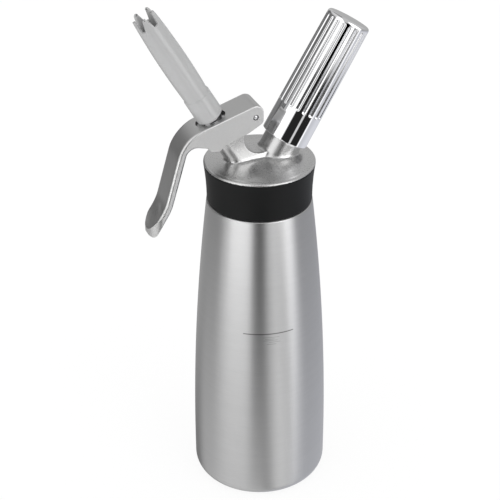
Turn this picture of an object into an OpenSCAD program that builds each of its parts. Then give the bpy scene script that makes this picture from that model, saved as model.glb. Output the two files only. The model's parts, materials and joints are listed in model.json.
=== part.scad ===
// Whipped cream dispenser, half litre size: a steel bottle, a screwed head with
// a lever valve on one side and a gas charger in its holder on the other.
// Millimetres. Z is up and the origin is on the bottle's axis, at its base.
// The lever side is -X and the charger side is +X.
// Along the tilted nozzle and charger axes, a place is the distance from where
// that axis meets the bottle's axis.

/* [Bottle] */
// Largest outer radius of the bottle
bottle_r = 39.4; // [37:0.1:44]
// Outer radius of the bottle at its shoulder, just under the head
shoulder_r = 29.4; // [29.2:0.1:29.8]
// Height of the shoulder on which the head ends
shoulder_z = 184; // [150:1:220]
// Height at which the side starts to curve inwards
taper_start_z = 15; // [12:1:40]
// Radius of the rounded bottom corner
base_corner_r = 7; // [3:0.5:10]
// Radius of the rounded edge of the shoulder
shoulder_edge_r = 0.7; // [0.4:0.1:1.2]
// Steel wall of the bottle
bottle_wall = 1; // [0.8:0.1:2]
// Outer radius of the threaded neck
neck_r = 26.35; // [25.5:0.05:26.6]
// Height of the threaded neck
neck_h = 19; // [15:0.5:24]
// Wall of the neck
neck_wall = 1.5; // [1:0.1:2.5]

/* [Head] */
// Radial running gap of threads, bores and the pin
running_gap = 0.08; // [0.05:0.01:0.1]
// Wall of the threaded collar
collar_wall = 1.95; // [1.5:0.05:2.2]
// Thickness of the gasket between head and bottle
gasket_t = 2; // [1:0.1:3]
// Thickness of the head's rim above the gasket
rim_t = 1.4; // [1:0.1:3]
// How far the steel rim and the grip ring's top stand out past the collar
rim_lip = 2.32; // [2.24:0.04:4.4]
// Width of the rounded steel rim
rim_round_w = 2.2; // [1:0.1:3]
// Height of the rounded steel rim
rim_round_h = 1.5; // [1:0.1:2.5]
// Rise of the shallow dome above the rim
dome_rise = 3.9; // [2:0.1:6]
// Thickness of the grip ring at its waist
grip_t = 0.82; // [0.6:0.02:2]
// Thickness of the head's neck, which carries the lever
neck_t = 12.8; // [12:0.1:13]
// Place of the pivot pin along X
pivot_x = -5.5; // [-6:0.1:-4.5]
// Height of the pivot pin above the bottle's shoulder
pivot_h = 52.8; // [52:0.1:54]
// Diameter of the pivot pin
pin_d = 3; // [2.4:0.1:3.4]
// Radius of the lug round the pivot pin
lug_r = 3.2; // [2.6:0.1:3.3]
// Radius of the hollow between the neck and the charger boss
saddle_r = 9.8; // [8:0.1:10.4]

/* [Valve] */
// Tilt of the nozzle from upright
nozzle_tilt = 29.6; // [28:0.1:31]
// Height above the shoulder where the nozzle's axis meets the bottle's axis
nozzle_cross = 4.9; // [4:0.1:6]
// Place of the valve seat along the nozzle's axis
seat_s = 15.5; // [15:0.1:17]
// Place of the nozzle boss's top along the nozzle's axis
boss_s = 46.5; // [44:0.1:46.8]
// Diameter of the cream passage round the stem
passage_d = 8.2; // [7.6:0.1:8.8]
// Diameter of the spring's pocket
pocket_d = 10.2; // [9.9:0.1:10.8]
// Depth of the spring's pocket with the guide in it
pocket_l = 16.5; // [14:0.1:18]
// Diameter of the valve stem
stem_d = 6.4; // [6:0.1:6.8]
// Diameter of the flow bore in the stem
stem_bore_d = 3.6; // [2:0.1:3.8]
// Diameter of the valve seal
seal_d = 12.4; // [11:0.1:12.6]
// Thickness of the valve seal
seal_t = 2.3; // [1.5:0.1:2.6]
// Length of the stem's guide
guide_l = 5; // [3:0.1:7]
// Wire of the valve spring
spring_wire = 1; // [0.7:0.05:1.1]
// Curls of the valve spring
spring_curls = 7; // [5:1:8]
// Place of the flange that the lever pushes
flange_s = 51.7; // [51.2:0.1:51.8]
// Diameter of the pushed flange
flange_d = 12.8; // [12.4:0.1:12.9]
// Thickness of the pushed flange
flange_t = 2.1; // [1.6:0.1:2.3]
// Diameter of the nozzle adapter where it passes the lever
adapter_d = 9.6; // [8.4:0.1:10]
// Diameter of the stem's threaded end
stem_end_d = 5; // [4.6:0.1:5.6]
// Length of the adapter's thread inside the tip
adapter_thread_l = 9; // [6:0.5:11]

/* [Decorator tip] */
// Place of the tip's lower end along the nozzle's axis
tip_s = 57.2; // [57:0.1:59]
// Length of the decorator tip
tip_l = 69.3; // [50:0.1:90]
// Diameter of the tip's tube at its widest
tip_d = 14.7; // [14:0.1:14.8]
// Diameter of the tube just over the collar
tip_foot_d = 13.7; // [13:0.1:14]
// Diameter of the tube at its open end
tip_end_d = 12; // [11.6:0.1:13]
// Distance of the widest place from the tip's lower end
tip_widest = 34.8; // [25:0.1:45]
// Diameter of the tip's collar
tip_collar_d = 15; // [14.8:0.1:16]
// Length of the tip's collar
tip_collar_l = 14.8; // [12:0.1:20]
// Diameter of the tip's bore
tip_bore_d = 10.8; // [10:0.1:11.4]
// Wall of the tip at its open end
tip_end_wall = 1.2; // [0.9:0.1:1.6]
// Number of petals at the open end
petals = 5; // [4:1:6]
// Turn of the petals round the nozzle's axis
petal_turn = -10; // [-36:1:36]
// Depth of the slots between the petals
petal_l = 6.8; // [5:0.1:12]
// Width of a slot at the open end
slot_w = 4.6; // [3.6:0.1:5]
// Width of a slot at its foot
slot_foot_w = 2.2; // [1:0.1:3]

/* [Lever] */
// Width of the lever
lever_w = 17.6; // [17:0.1:20]
// Gap between the lever's side walls and the head's neck
lever_gap = 0.3; // [0.2:0.05:0.4]
// Thickness of the lever's top wall
lever_top_t = 2.2; // [1.8:0.1:2.3]
// Slope of the lever's top
top_slope = 17.7; // [17:0.1:18.4]
// Slope of the handle
handle_slope = 73.6; // [70:0.1:77]
// Rise of the lever's top line over the pivot, at the pivot
top_rise = 6.9; // [6.8:0.1:7.6]
// Distance along X from the pivot to the corner where the handle starts
bend_reach = 40.4; // [40:0.1:46]
// Radius of that bend, outside
bend_r = 22; // [10:1:26]
// Length of the straight handle
handle_l = 41; // [30:1:60]
// Length of the flared finger rest
rest_l = 14.9; // [12:0.1:20]
// Slope of the finger rest
rest_slope = 57.6; // [50:0.1:65]
// Thickness of the handle
handle_t = 4.4; // [4:0.1:5.2]
// Thickness of the finger rest
rest_t = 3.4; // [3:0.1:4.2]
// Depth of the hollow in the finger rest
dish_depth = 0.8; // [0.3:0.1:1.2]
// Radius of the finger rest's corners
rest_corner_r = 7.6; // [4:0.1:8.4]
// Length of the hole through which the nozzle adapter passes
lever_hole_l = 17; // [15:0.1:17.4]
// Width of that hole
lever_hole_w = 11; // [10.4:0.1:11.4]
// Shift of that hole's middle from the nozzle's axis, towards the handle
lever_hole_shift = 1; // [0.6:0.1:1.2]

/* [Charger] */
// Tilt of the charger holder from upright
charger_tilt = 30.4; // [29:0.1:32]
// Height above the shoulder where the holder's axis meets the bottle's axis
charger_cross = 9.2; // [8.4:0.1:10]
// Diameter of the charger boss
boss_d = 21.4; // [20.6:0.1:23]
// Place of the boss's shoulder along the holder's axis
boss_q = 28.8; // [28:0.1:31]
// Diameter of the threaded stub on the boss
stub_d = 19.8; // [19.2:0.1:20.2]
// Length of the threaded stub
stub_l = 13; // [10:0.5:14]
// Place of the piercing pin's seat along the holder's axis
pin_seat_q = 31; // [30.4:0.1:32]
// Diameter of the bore for the charging valve
cartridge_d = 8.5; // [8:0.1:8.8]
// Length of the charging valve
cartridge_l = 9; // [7:0.1:10]
// Place of the lower end of that bore
check_end_q = 12.6; // [12.4:0.1:13.2]
// Thickness of the gasket round the piercing pin
charger_gasket_t = 1.7; // [1.2:0.1:2.2]
// Stroke of the check valve
check_travel = 1.2; // [0.6:0.1:1.5]
// Diameter of the gas charger
charger_d = 18; // [17:0.1:18.2]
// Length of the gas charger
charger_l = 65.5; // [60:0.5:70]
// Diameter of the charger's neck
charger_neck_d = 8.8; // [8:0.1:9]
// Diameter of the holder at its mouth
holder_mouth_d = 26.2; // [25.4:0.1:28]
// Diameter of the holder at its closed end
holder_end_d = 24.4; // [23:0.1:26]
// Thickness of the holder's closed end
holder_end_t = 1.6; // [1.2:0.1:3]
// Number of flutes round the holder
flutes = 20; // [12:1:24]
// Radius of a flute's cutter
flute_r = 1.1; // [0.8:0.05:1.4]
// Depth of a flute
flute_depth = 0.6; // [0.3:0.05:0.8]
// Length of the plain stretch below the flutes
holder_plain_l = 19; // [14:1:34]

/* [Hidden] */
$fn = 64;
// Gap between pieces that sit on each other without moving
seat_gap = 0.05;
// Heights of the head, from the bottle up
neck_top_z = shoulder_z + neck_h;
under_z = neck_top_z + gasket_t;
rim_z = under_z + rim_t;
dome_edge_z = rim_z + rim_round_h;
dome_top_z = dome_edge_z + dome_rise;
collar_r = neck_r + running_gap + collar_wall;
rim_r = collar_r + rim_lip;
grip_waist_r = collar_r + grip_t;
collar_gap = 0.6;
recess_h = 2;
recess_r = neck_r - neck_wall - 5.3;
// Radius of the arc that shapes the bottle's side
side_drop = bottle_r - shoulder_r;
side_rise = shoulder_z - taper_start_z;
side_arc_r = (side_rise * side_rise + side_drop * side_drop) / (2 * side_drop);
// Radius of the arc that shapes the dome
dome_r = rim_r - rim_round_w;
dome_arc_r = (dome_r * dome_r + dome_rise * dome_rise) / (2 * dome_rise);
// Points where the tilted axes meet the bottle's axis
nozzle_z = shoulder_z + nozzle_cross;
charger_z = shoulder_z + charger_cross;
pivot = [pivot_x, shoulder_z + pivot_h];
// Places along the nozzle's axis
pocket_s = boss_s - pocket_l;
seal_top_s = seat_s - seat_gap;
seal_low_s = seal_top_s - seal_t;
backing_t = 1.4;
flange_low_s = flange_s - flange_t;
stem_ring_s = pocket_s - 4;
cross_hole_s = seat_s + 3;
adapter_top_s = tip_s + adapter_thread_l;
stem_end_s = flange_low_s + 6.4;
groove_wire = 1.44;
groove_w = 1.6;
groove_depth = 0.6;
tip_end_s = tip_s + tip_l;
// Places along the charger's axis
cartridge_low_q = pin_seat_q - cartridge_l;
plunger_top_q = cartridge_low_q - seat_gap;
check_seal_t = 0.75;
plunger_t = 1.4;
plunger_low_q = plunger_top_q - check_seal_t - plunger_t;
retainer_t = 2.4;
retainer_top_q = check_end_q + retainer_t;
pierce_base_t = 1.4;
pierce_gasket_q = pin_seat_q + pierce_base_t + seat_gap;
charger_low_q = pierce_gasket_q + charger_gasket_t + seat_gap;
charger_top_q = charger_low_q + charger_l;
pierce_tip_q = charger_low_q + 2.4;
holder_low_q = boss_q + seat_gap;
holder_in_q = charger_top_q + 0.2;
holder_top_q = holder_in_q + holder_end_t;
holder_thread_r = stub_d / 2 + running_gap;
charger_gap = 0.12;
stub_bore_r = charger_neck_d / 2 + 0.3;
boss_bore_r = cartridge_d / 2 + seat_gap;
check_stem_r = 1.2;
needle_r = 1.2;

// ---- helpers ----

function unit(v) = v / norm(v);

// Points along an arc round c, from angle a0 to angle a1
function arc(c, r, a0, a1, n) =
    [for (i = [0 : n]) c + r * [cos(a0 + (a1 - a0) * i / n), sin(a0 + (a1 - a0) * i / n)]];

// One corner b of an outline that comes from a and goes on to c, rounded to r
function corner(a, b, c, r, n) =
    r == 0 ? [b] :
    let (u = unit(a - b), w = unit(c - b), half = acos(u * w) / 2)
    let (mid = b + unit(u + w) * r / sin(half))
    let (v0 = b + u * r / tan(half) - mid, v1 = b + w * r / tan(half) - mid)
    let (a0 = atan2(v0.y, v0.x), da = atan2(v0.x * v1.y - v0.y * v1.x, v0 * v1))
    arc(mid, r, a0, a0 + da, n);

// A closed outline of [x, y, corner radius]
function rounded(p, n = 6) =
    let (last = len(p) - 1)
    [for (i = [0 : last])
        let (a = p[i == 0 ? last : i - 1], b = p[i], c = p[i == last ? 0 : i + 1])
        each corner([a.x, a.y], [b.x, b.y], [c.x, c.y], b.z, b.z > 8 ? 2 * n : n)];

// Points of an outline in the plane of the two tilted axes
function nozzle_at(s, out = 0) =
    [0, nozzle_z] + s * [-sin(nozzle_tilt), cos(nozzle_tilt)]
    + out * [cos(nozzle_tilt), sin(nozzle_tilt)];
function charger_at(q, out = 0) =
    [0, charger_z] + q * [sin(charger_tilt), cos(charger_tilt)]
    + out * [cos(charger_tilt), -sin(charger_tilt)];

module on_nozzle(s = 0) {
    translate([0, 0, nozzle_z]) rotate([0, -nozzle_tilt, 0]) translate([0, 0, s]) children();
}

module on_charger(q = 0) {
    translate([0, 0, charger_z]) rotate([0, charger_tilt, 0]) translate([0, 0, q]) children();
}

// A slab of width w across Y, from an outline in X and Z
module across(w) {
    rotate([90, 0, 0]) linear_extrude(w, center = true) children();
}

module tube(r, bore_r, h) {
    rotate_extrude() translate([bore_r, 0]) square([r - bore_r, h]);
}

// A ring of round cross-section
module o_ring(bore_r, wire) {
    rotate_extrude() translate([bore_r + wire / 2, 0]) circle(wire / 2, $fn = 24);
}

// A wire along a helix from height z0 to z1: one tube of 6 sides
module coil(r, wire, z0, z1, curls) {
    sides = 6;
    rings = 8 * curls;
    lift = (z1 - z0) / rings;
    lean = atan(lift * 8 / (2 * PI * r));
    points = [for (i = [0 : rings]) for (k = [0 : sides - 1])
        let (a = 45 * i, b = 360 * k / sides, e = wire / 2 * cos(b), f = wire / 2 * sin(b))
        [(r + e) * cos(a) + f * sin(lean) * sin(a),
         (r + e) * sin(a) - f * sin(lean) * cos(a),
         z0 + lift * i + f * cos(lean)]];
    sleeve = [for (i = [0 : rings - 1]) for (k = [0 : sides - 1])
        let (a = i * sides + k, b = i * sides + (k + 1) % sides)
        each [[a, a + sides, b], [b, a + sides, b + sides]]];
    first = [for (k = [1 : sides - 2]) [0, k, k + 1]];
    end = rings * sides;
    last = [for (k = [1 : sides - 2]) [end, end + k + 1, end + k]];
    polyhedron(points, concat(sleeve, first, last));
    gap = min([for (i = [0 : 7]) norm([r * cos(45 * i) - r * cos(45 * (i + 8)),
        r * sin(45 * i) - r * sin(45 * (i + 8)), 8 * lift])]) - wire;
    echo("least gap between curls", gap);
}

// ---- bottle ----

module bottle() {
    side = [for (i = [0 : 16]) let (z = taper_start_z + (side_rise - shoulder_edge_r) * i / 16)
        [bottle_r - side_arc_r + sqrt(side_arc_r * side_arc_r - pow(z - taper_start_z, 2)), z]];
    ledge = arc(side[16] - [shoulder_edge_r, 0], shoulder_edge_r, 15, 90, 5);
    inside = concat([side[16] - [bottle_wall, 2.4]],
        [for (i = [15 : -1 : 0]) side[i] - [bottle_wall, 0]]);
    foot = arc([bottle_r - base_corner_r, base_corner_r], base_corner_r, -90, 0, 8);
    sole = arc([bottle_r - base_corner_r, base_corner_r], base_corner_r - bottle_wall, 0, -90, 8);
    rim = [[neck_r, shoulder_z + 0.1],
        [neck_r, neck_top_z - 0.5], [neck_r - 0.5, neck_top_z],
        [neck_r - neck_wall + 0.3, neck_top_z], [neck_r - neck_wall, neck_top_z - 0.3],
        [neck_r - neck_wall, shoulder_z - 1.6]];
    color("lightsteelblue") rotate_extrude($fn = 96)
        polygon(concat([[0, 0]], foot, side, ledge, rim, inside, sole, [[0, bottle_wall]]));
}

// ---- head ----

module head_gasket() {
    color("dimgray") translate([0, 0, neck_top_z])
        tube(neck_r - 0.35, neck_r - neck_wall - 3.3, gasket_t);
}

module head_shell() {
    edge = [for (a = [0 : 15 : 90]) [rim_r - rim_round_w + rim_round_w * cos(a),
        rim_z + 0.3 + (rim_round_h - 0.3) * sin(a)]];
    dome = [for (i = [7 : -1 : 0]) let (r = dome_r * i / 8)
        [r, dome_top_z - dome_arc_r + sqrt(dome_arc_r * dome_arc_r - r * r)]];
    thread_r = neck_r + running_gap;
    rotate_extrude($fn = 96) polygon(concat(
        [[0, under_z + recess_h], [recess_r, under_z + recess_h], [recess_r, under_z],
         [thread_r, under_z], [thread_r, shoulder_z + collar_gap],
         [collar_r, shoulder_z + collar_gap], [collar_r, rim_z], [rim_r, rim_z]],
        edge, dome));
}

// The neck between the nozzle boss and the pivot, with its hollow flank
module head_neck() {
    saddle = [pivot.x + 4, dome_top_z + saddle_r + 2.4];
    across(neck_t) polygon(concat(
        [nozzle_at(22), nozzle_at(boss_s), nozzle_at(boss_s, neck_t / 2)],
        arc(pivot, lug_r, 115, -45, 8),
        arc(saddle, saddle_r, 165, 285, 10),
        [charger_at(24), [charger_at(24).x, dome_edge_z]]));
    // a hair wider than the neck is thick, so that its flanks end in the round
    on_nozzle(22) cylinder(r = neck_t / 2 + 0.05, h = boss_s - 22);
}

module charger_boss() {
    intersection() {
        on_charger(8) cylinder(r = boss_d / 2, h = boss_q - 8);
        translate([0, 0, under_z + recess_h + 0.5]) cylinder(r = dome_r, h = 40);
    }
    on_charger(boss_q - 1) cylinder(r = stub_d / 2, h = stub_l + 1);
    intersection() {
        on_charger(check_end_q) cylinder(r = 6.5, h = 10);
        translate([0, 0, under_z - 10]) cylinder(r = recess_r, h = recess_h + 11);
    }
}

module seat_boss() {
    intersection() {
        on_nozzle(seat_s) cylinder(r = 6.5, h = 8);
        translate([0, 0, under_z - 10]) cylinder(r = recess_r, h = recess_h + 11);
    }
}

module head() {
    color("silver") difference() {
        union() {
            head_shell();
            head_neck();
            charger_boss();
            seat_boss();
        }
        on_nozzle(seat_s - 5) cylinder(r = passage_d / 2, h = 40);
        on_nozzle(pocket_s) cylinder(r = pocket_d / 2, h = 30);
        on_charger(check_end_q - 5) cylinder(r = boss_bore_r, h = pin_seat_q - check_end_q + 5);
        on_charger(pin_seat_q) cylinder(r = stub_bore_r, h = 20);
        translate([pivot.x, 0, pivot.y]) rotate([90, 0, 0])
            cylinder(r = pin_d / 2, h = neck_t + 2, center = true, $fn = 32);
    }
}

module grip_ring() {
    low_z = shoulder_z + 0.3;
    high_z = rim_z - seat_gap;
    waist_z = shoulder_z + 2;
    flare = (rim_r - grip_waist_r) / pow(high_z - waist_z, 2);
    outside = [for (i = [0 : 10]) let (z = low_z + (high_z - low_z) * i / 10)
        [grip_waist_r + flare * pow(z - waist_z, 2), z]];
    color([0.12, 0.12, 0.13]) rotate_extrude($fn = 96) polygon(concat(
        [[collar_r + seat_gap, high_z], [collar_r + seat_gap, low_z]], outside));
}

module lever_pin() {
    color("gainsboro") translate([pivot.x, 0, pivot.y]) rotate([90, 0, 0])
        cylinder(r = pin_d / 2, h = lever_w, center = true, $fn = 32);
}

// ---- nozzle side ----

module valve_guide() {
    color("white") on_nozzle(pocket_s)
        tube(pocket_d / 2 - seat_gap, stem_d / 2 + running_gap, guide_l);
}

module valve_spring() {
    mean_r = (stem_d / 2 + pocket_d / 2) / 2 + 0.2;
    low = pocket_s + guide_l + spring_wire / 2 + seat_gap;
    high = flange_low_s - spring_wire / 2 - seat_gap;
    color("lightgray") on_nozzle() coil(mean_r, spring_wire, low, high, spring_curls);
}

module valve_stem() {
    stem_r = stem_d / 2;
    ring_r = stem_r - groove_depth;
    end_r = stem_end_d / 2;
    back_s = seal_low_s - backing_t;
    color("gainsboro") on_nozzle() difference() {
        rotate_extrude() polygon([[0, back_s - 2], [3, back_s - 2], [seal_d / 2, back_s],
            [seal_d / 2, seal_low_s], [stem_r, seal_low_s],
            [stem_r, stem_ring_s - groove_w / 2], [ring_r, stem_ring_s - groove_w / 2],
            [ring_r, stem_ring_s + groove_w / 2], [stem_r, stem_ring_s + groove_w / 2],
            [stem_r, flange_low_s], [end_r, flange_low_s], [end_r, stem_end_s], [0, stem_end_s]]);
        translate([0, 0, seal_low_s + 2]) cylinder(r = stem_bore_d / 2, h = 60);
        for (a = [0, 90])
            translate([0, 0, cross_hole_s]) rotate([90, 0, a])
                cylinder(r = 1.2, h = stem_d + 2, center = true, $fn = 24);
    }
}

module stem_o_ring() {
    color("black") on_nozzle(stem_ring_s) o_ring(stem_d / 2 - groove_depth, groove_wire);
}

module valve_seal() {
    color("dimgray") on_nozzle(seal_low_s) tube(seal_d / 2, stem_d / 2, seal_t);
}

module nozzle_adapter() {
    hub_r = adapter_d / 2;
    thread_r = tip_bore_d / 2 - running_gap;
    socket_r = stem_end_d / 2 + running_gap;
    color("silver") on_nozzle() rotate_extrude() polygon([
        [socket_r, flange_low_s], [flange_d / 2, flange_low_s], [flange_d / 2, flange_s],
        [hub_r, flange_s], [hub_r, tip_s - 1.2], [thread_r + 0.6, tip_s - 1.2],
        [thread_r + 0.6, tip_s - seat_gap], [thread_r, tip_s - seat_gap],
        [thread_r, adapter_top_s - 0.6], [thread_r - 0.6, adapter_top_s],
        [stem_bore_d / 2, adapter_top_s], [stem_bore_d / 2, stem_end_s + 0.1],
        [socket_r, stem_end_s + 0.1]]);
}

module decorator_tip() {
    collar_end = tip_s + tip_collar_l;
    wall_in = tip_bore_d / 2;
    wide_s = tip_s + tip_widest;
    fall_low = (tip_d - tip_foot_d) / 2 / pow(wide_s - collar_end, 2);
    fall_high = (tip_d - tip_end_d) / 2 / pow(tip_end_s - wide_s, 2);
    barrel = [for (i = [0 : 12]) let (s = collar_end + (tip_end_s - collar_end) * i / 12)
        [tip_d / 2 - (s < wide_s ? fall_low : fall_high) * pow(s - wide_s, 2), s]];
    foot = slot_foot_w / 2;
    half = slot_w / 2;
    slot = [[-foot, 0], [foot, 0], [half, petal_l - 1], [half + 0.4, petal_l - 0.3],
        [half + 1, petal_l + 0.1], [-half - 1, petal_l + 0.1], [-half - 0.4, petal_l - 0.3],
        [-half, petal_l - 1]];
    color([0.85, 0.86, 0.87]) on_nozzle() difference() {
        rotate_extrude() polygon(concat([[wall_in, tip_s], [tip_collar_d / 2 - 0.3, tip_s],
            [tip_collar_d / 2, tip_s + 0.3], [tip_collar_d / 2 - 0.1, collar_end - 0.3]],
            barrel, [[tip_end_d / 2 - tip_end_wall, tip_end_s], [wall_in, wide_s]]));
        for (i = [0 : petals - 1])
            rotate([0, 0, 360 * (i + 0.5) / petals - 90 + petal_turn])
                translate([0, 0, tip_end_s - petal_l]) rotate([90, 0, 90])
                    linear_extrude(tip_d) polygon(slot);
    }
}

// ---- lever ----

// Height of the lever's top line at x
function top_z(x) = pivot.y + top_rise + (x - pivot.x) * tan(top_slope);

module lever() {
    // Outside of the handle: the bend, the end of the straight, the rest's end
    bend = [pivot.x - bend_reach, top_z(pivot.x - bend_reach)];
    flare = bend - handle_l * [cos(handle_slope), sin(handle_slope)];
    end = flare - rest_l * [cos(rest_slope), sin(rest_slope)];
    inward = handle_t * [sin(handle_slope), -cos(handle_slope)];
    rest_in = rest_t * [sin(rest_slope), -cos(rest_slope)];
    skirt = pivot.y - 11;
    bevel = 3.8;
    nose_x = pivot.x + 4.6;
    outline = rounded([
        [nose_x, top_z(nose_x), 4.6], [nose_x, pivot.y - 3.8, 3.5],
        [pivot.x - 4, pivot.y - 8.6, 10], [pivot.x - 17.3, pivot.y - 13.5, 3],
        [pivot.x - 20.3, pivot.y - 16.2, 2.4], [pivot.x - 24.9, pivot.y - 16.2, 2.4],
        [pivot.x - 27.1, pivot.y - 13.2, 3],
        [bend.x + inward.x - 1, skirt, 6],
        concat(flare + inward, [30]), concat(end + rest_in + [1, -1.5], [1]),
        concat(end + rest_in + [0.2, -3.6], [0.8]), concat(end + [0.8, -4.6], [0.8]),
        concat(end, [2]), concat(flare, [30]), concat(bend, [bend_r])]);
    inner_w = neck_t + 2 * lever_gap;
    drop = lever_top_t / cos(top_slope);
    room_x = pivot.x - 31;
    wall_x = pivot.x + lug_r + 0.3;
    hole_s = flange_s + 2;
    color("gainsboro") difference() {
        across(lever_w) polygon(outline);
        across(inner_w) polygon(rounded([
            [wall_x, top_z(wall_x) - drop, 3], [wall_x, pivot.y - 30, 0],
            [room_x, pivot.y - 30, 0], [room_x, top_z(room_x) - drop, 2]]));
        translate([nozzle_at(hole_s).x, 0, nozzle_at(hole_s).y]) rotate([0, -top_slope, 0])
            translate([-lever_hole_shift, 0, 0]) {
                cube([lever_hole_l - lever_hole_w, lever_hole_w, 12], center = true);
                for (side = [-1, 1])
                    translate([side * (lever_hole_l - lever_hole_w) / 2, 0, 0])
                        cylinder(r = lever_hole_w / 2, h = 12, center = true);
            }
        translate([pivot.x, 0, pivot.y]) rotate([90, 0, 0])
            cylinder(r = pin_d / 2 + running_gap, h = lever_w + 2, center = true, $fn = 32);
        // the hollow of the finger rest
        dish_r = 26;
        middle = (flare + end) / 2;
        away = (dish_r - dish_depth) * [-sin(rest_slope), cos(rest_slope)];
        translate([middle.x + away.x, 0, middle.y + away.y]) sphere(dish_r);
        // the rounded corners of the finger rest
        translate([end.x, 0, end.y]) rotate([0, 90 - rest_slope, 0])
            for (side = [-1, 1])
                rotate([90, 0, 90]) linear_extrude(30, center = true) polygon(concat(
                    [[side * (lever_w / 2 + 1), -8], [side * (lever_w / 2 + 1), rest_corner_r - bevel]],
                    [for (a = [0 : -15 : -90]) [side * (lever_w / 2 - rest_corner_r * (1 - cos(a))),
                        rest_corner_r * (1 + sin(a)) - bevel]],
                    [[side * (lever_w / 2 - rest_corner_r), -8]]));
    }
}

// ---- charger side ----

module charging_valve() {
    r = cartridge_d / 2;
    ring_q = cartridge_low_q + 4;
    color("goldenrod") on_charger() rotate_extrude() polygon([
        [1.5, cartridge_low_q], [1.9, cartridge_low_q], [2.3, cartridge_low_q + 0.4],
        [r, cartridge_low_q + 0.4], [r, ring_q - groove_w / 2],
        [r - groove_depth * 2, ring_q - groove_w / 2],
        [r - groove_depth * 2, ring_q + groove_w / 2],
        [r, ring_q + groove_w / 2], [r, pin_seat_q], [1.5, pin_seat_q]]);
}

module charging_o_ring() {
    wire = 1.2;
    color("black") on_charger(cartridge_low_q + 4)
        o_ring(cartridge_d / 2 - 2 * groove_depth, wire);
}

module piercing_pin() {
    color("gainsboro") on_charger() rotate_extrude($fn = 32) polygon([
        [0.5, pin_seat_q], [stub_bore_r - seat_gap, pin_seat_q],
        [stub_bore_r - seat_gap, pin_seat_q + pierce_base_t],
        [needle_r, pin_seat_q + pierce_base_t], [needle_r, pierce_tip_q - 1.4],
        [0.6, pierce_tip_q], [0.5, pierce_tip_q]]);
}

module charger_gasket() {
    color("dimgray") on_charger(pierce_gasket_q)
        tube(stub_bore_r - 0.1, needle_r + 0.1, charger_gasket_t);
}

module check_plunger() {
    color("white") on_charger() rotate_extrude($fn = 32) polygon([
        [0, retainer_top_q - retainer_t], [check_stem_r, retainer_top_q - retainer_t],
        [check_stem_r, plunger_low_q], [3.2, plunger_low_q],
        [3.2, plunger_low_q + plunger_t], [0, plunger_low_q + plunger_t]]);
}

module check_seal() {
    color("black") on_charger(plunger_low_q + plunger_t) cylinder(r = 3.2, h = check_seal_t);
}

module check_spring() {
    wire = 0.5;
    color("lightgray") on_charger() coil(2.6, wire,
        retainer_top_q + wire / 2 + seat_gap, plunger_low_q - wire / 2 - seat_gap, 4);
}

module check_retainer() {
    color("goldenrod") on_charger(check_end_q) difference() {
        tube(boss_bore_r - 0.02, check_stem_r + running_gap, retainer_t);
        for (a = [45 : 90 : 315])
            rotate([0, 0, a]) translate([2.75, 0, -1]) cylinder(r = 0.7, h = retainer_t + 2, $fn = 24);
    }
}

module gas_charger() {
    r = charger_d / 2;
    neck = charger_neck_d / 2;
    wall = 1.3;
    outside = concat([[needle_r + 0.2, charger_low_q], [neck - 0.4, charger_low_q],
        [neck, charger_low_q + 0.4], [neck, charger_low_q + 9]],
        arc([r - 10, charger_low_q + 19], 10, -52, 0, 6),
        arc([0, charger_top_q - r], r, 0, 90, 10));
    inside = concat(arc([0, charger_top_q - r], r - wall, 90, 0, 10),
        arc([r - 10, charger_low_q + 19], 10 - wall, 0, -52, 6),
        [[neck - wall, charger_low_q + 9], [neck - wall, charger_low_q + 1.2],
         [needle_r + 0.2, charger_low_q + 1.2]]);
    color("lightslategray") on_charger() rotate_extrude() polygon(concat(outside, inside));
}

module charger_holder() {
    mouth = holder_mouth_d / 2;
    top = holder_end_d / 2;
    bore = charger_d / 2 + charger_gap;
    thread_end = boss_q + stub_l + 0.6;
    flute_low = holder_low_q + holder_plain_l;
    flute_high = holder_top_q - 3.2;
    lean = atan((mouth - top) / (holder_top_q - holder_low_q));
    color("silver") on_charger() difference() {
        rotate_extrude($fn = 96) polygon(concat(
            [[0, holder_in_q], [bore - 1, holder_in_q], [bore, holder_in_q - 1],
             [bore, thread_end + 0.8], [holder_thread_r, thread_end],
             [holder_thread_r, holder_low_q], [mouth - 0.5, holder_low_q],
             [mouth, holder_low_q + 0.5]],
            arc([top - 1.6, holder_top_q - 1.6], 1.6, 0, 80, 5), [[0, holder_top_q]]));
        for (i = [0 : flutes - 1])
            rotate([0, 0, 360 * i / flutes])
                translate([mouth - (flute_low - holder_low_q) * tan(lean) + flute_r - flute_depth,
                    0, flute_low]) rotate([0, -lean, 0]) {
                        cylinder(r = flute_r, h = flute_high - flute_low, $fn = 16);
                        sphere(flute_r, $fn = 16);
                        translate([0, 0, flute_high - flute_low]) sphere(flute_r, $fn = 16);
                    }
    }
}

bottle();
head_gasket();
head();
grip_ring();
lever_pin();
valve_guide();
valve_spring();
valve_stem();
stem_o_ring();
valve_seal();
nozzle_adapter();
decorator_tip();
lever();
charging_valve();
charging_o_ring();
piercing_pin();
charger_gasket();
check_plunger();
check_seal();
check_spring();
check_retainer();
gas_charger();
charger_holder();
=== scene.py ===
"""Looks of a half litre whipped cream dispenser: brushed steel bottle, satin head and lever,
chromed charger holder, silicone grip ring and a milky decorator tip."""
import json
import math

import bmesh
import bpy
import numpy as np
from mathutils import Matrix, Vector
from mathutils.geometry import tessellate_polygon


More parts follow.
